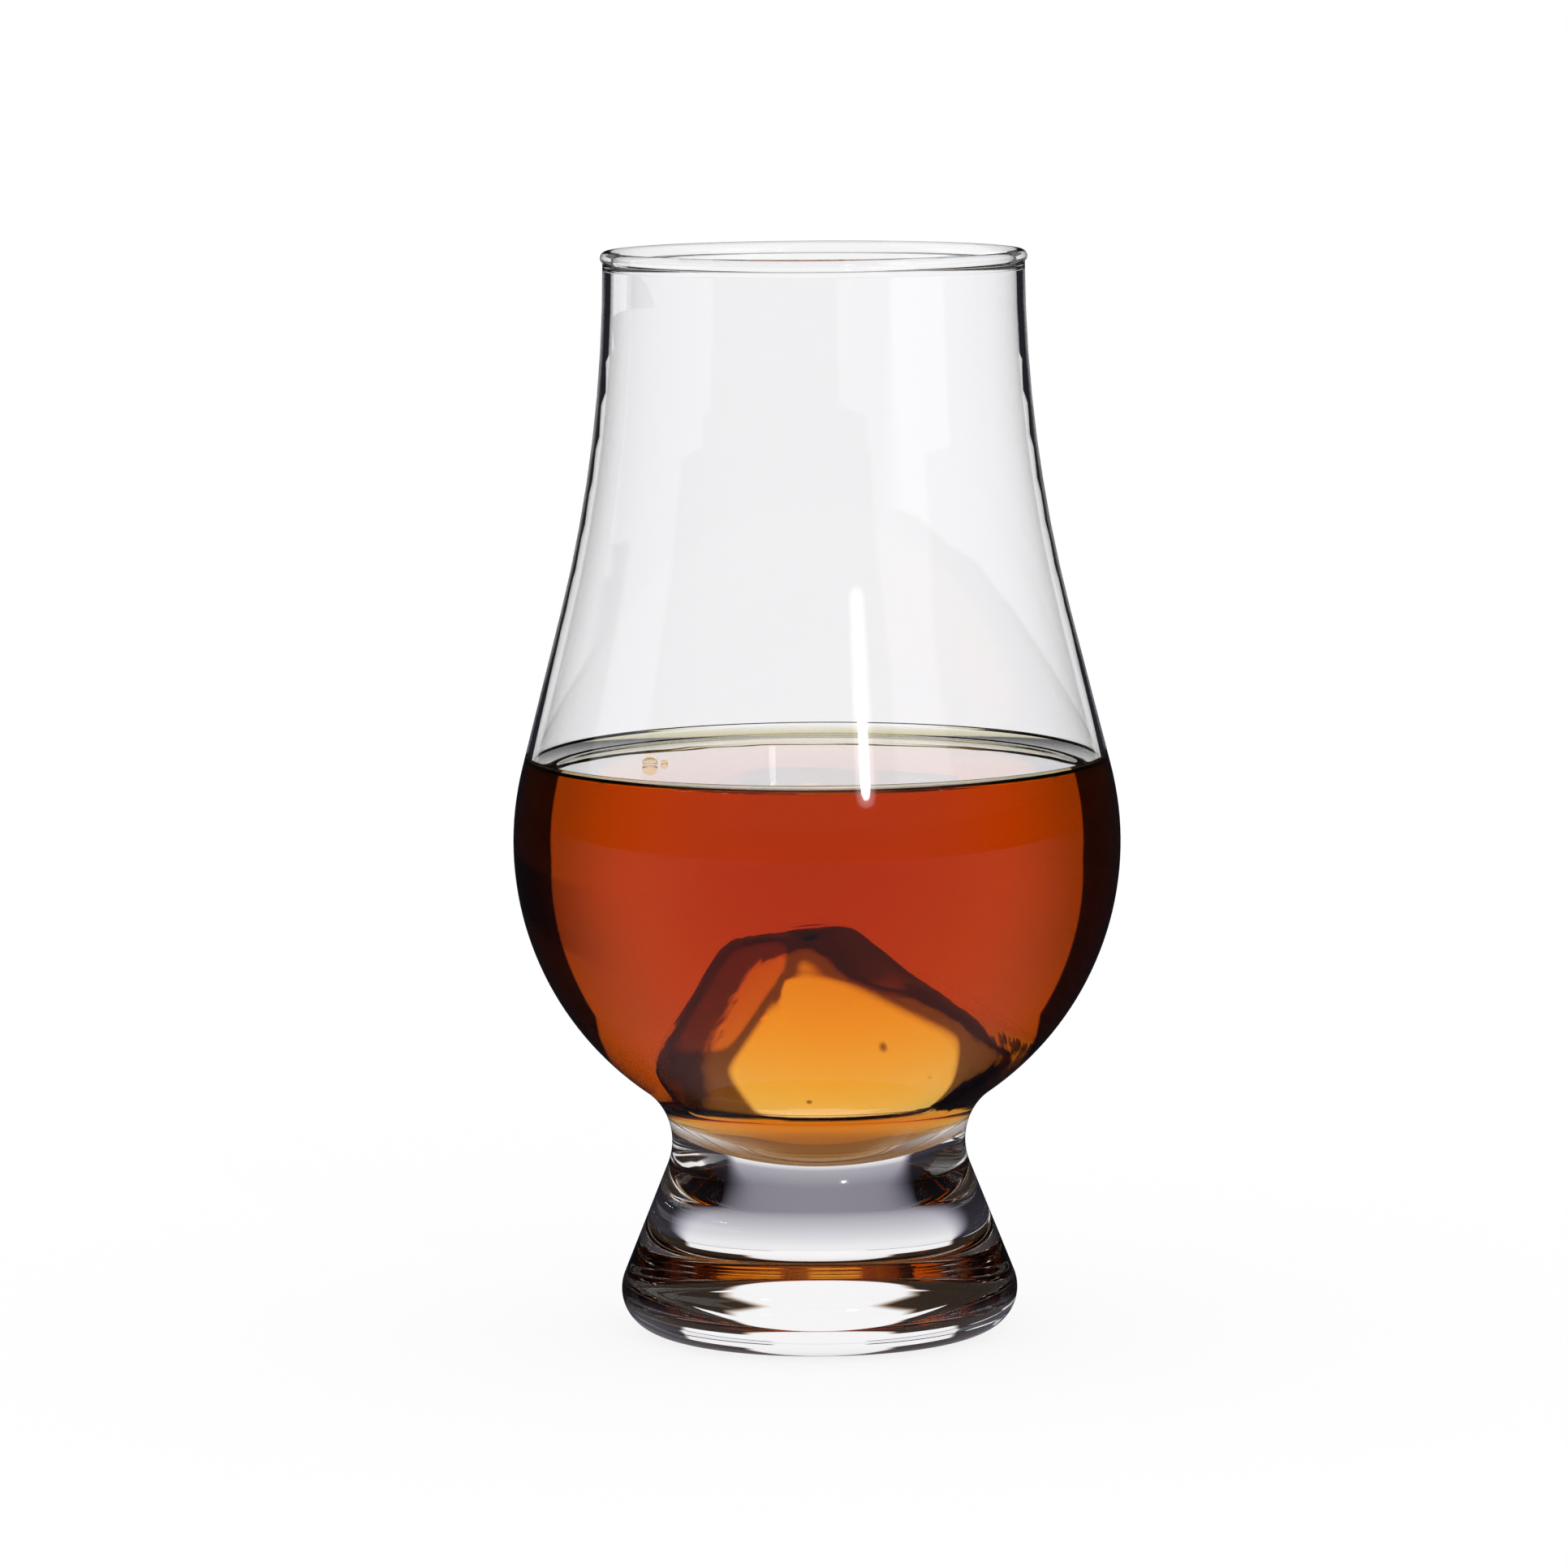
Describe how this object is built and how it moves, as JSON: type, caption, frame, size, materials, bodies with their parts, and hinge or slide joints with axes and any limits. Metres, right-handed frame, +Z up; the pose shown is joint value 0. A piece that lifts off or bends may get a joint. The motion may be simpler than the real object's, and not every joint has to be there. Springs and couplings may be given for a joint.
{
  "type": "whisky glass",
  "caption": "Clear tulip-shaped whisky glass with a round belly, narrow throat and solid flared foot, holding amber whisky and an ice lump that swirl about its axis.",
  "frame": {"origin": "middle of the face that the glass stands on", "axes": "+Z up along the glass's axis, -Y towards the viewer of the picture, +X to the viewer's right"},
  "size_m": [0.0644, 0.0644, 0.115],
  "materials": {
    "blown_glass": "polished",
    "pressed_glass": "polished",
    "whisky": "polished",
    "ice": "gloss"
  },
  "bodies": {
    "glass": {"bowl": "blown_glass", "foot": "pressed_glass"},
    "contents": {"whisky": "whisky", "ice_lump": "ice"}
  },
  "joints": [
    {"name": "swirl", "type": "hinge", "parent": "glass", "child": "contents", "pos_m": [0, 0, 0.04], "axis": [0, 0, 1], "continuous": true}
  ]
}
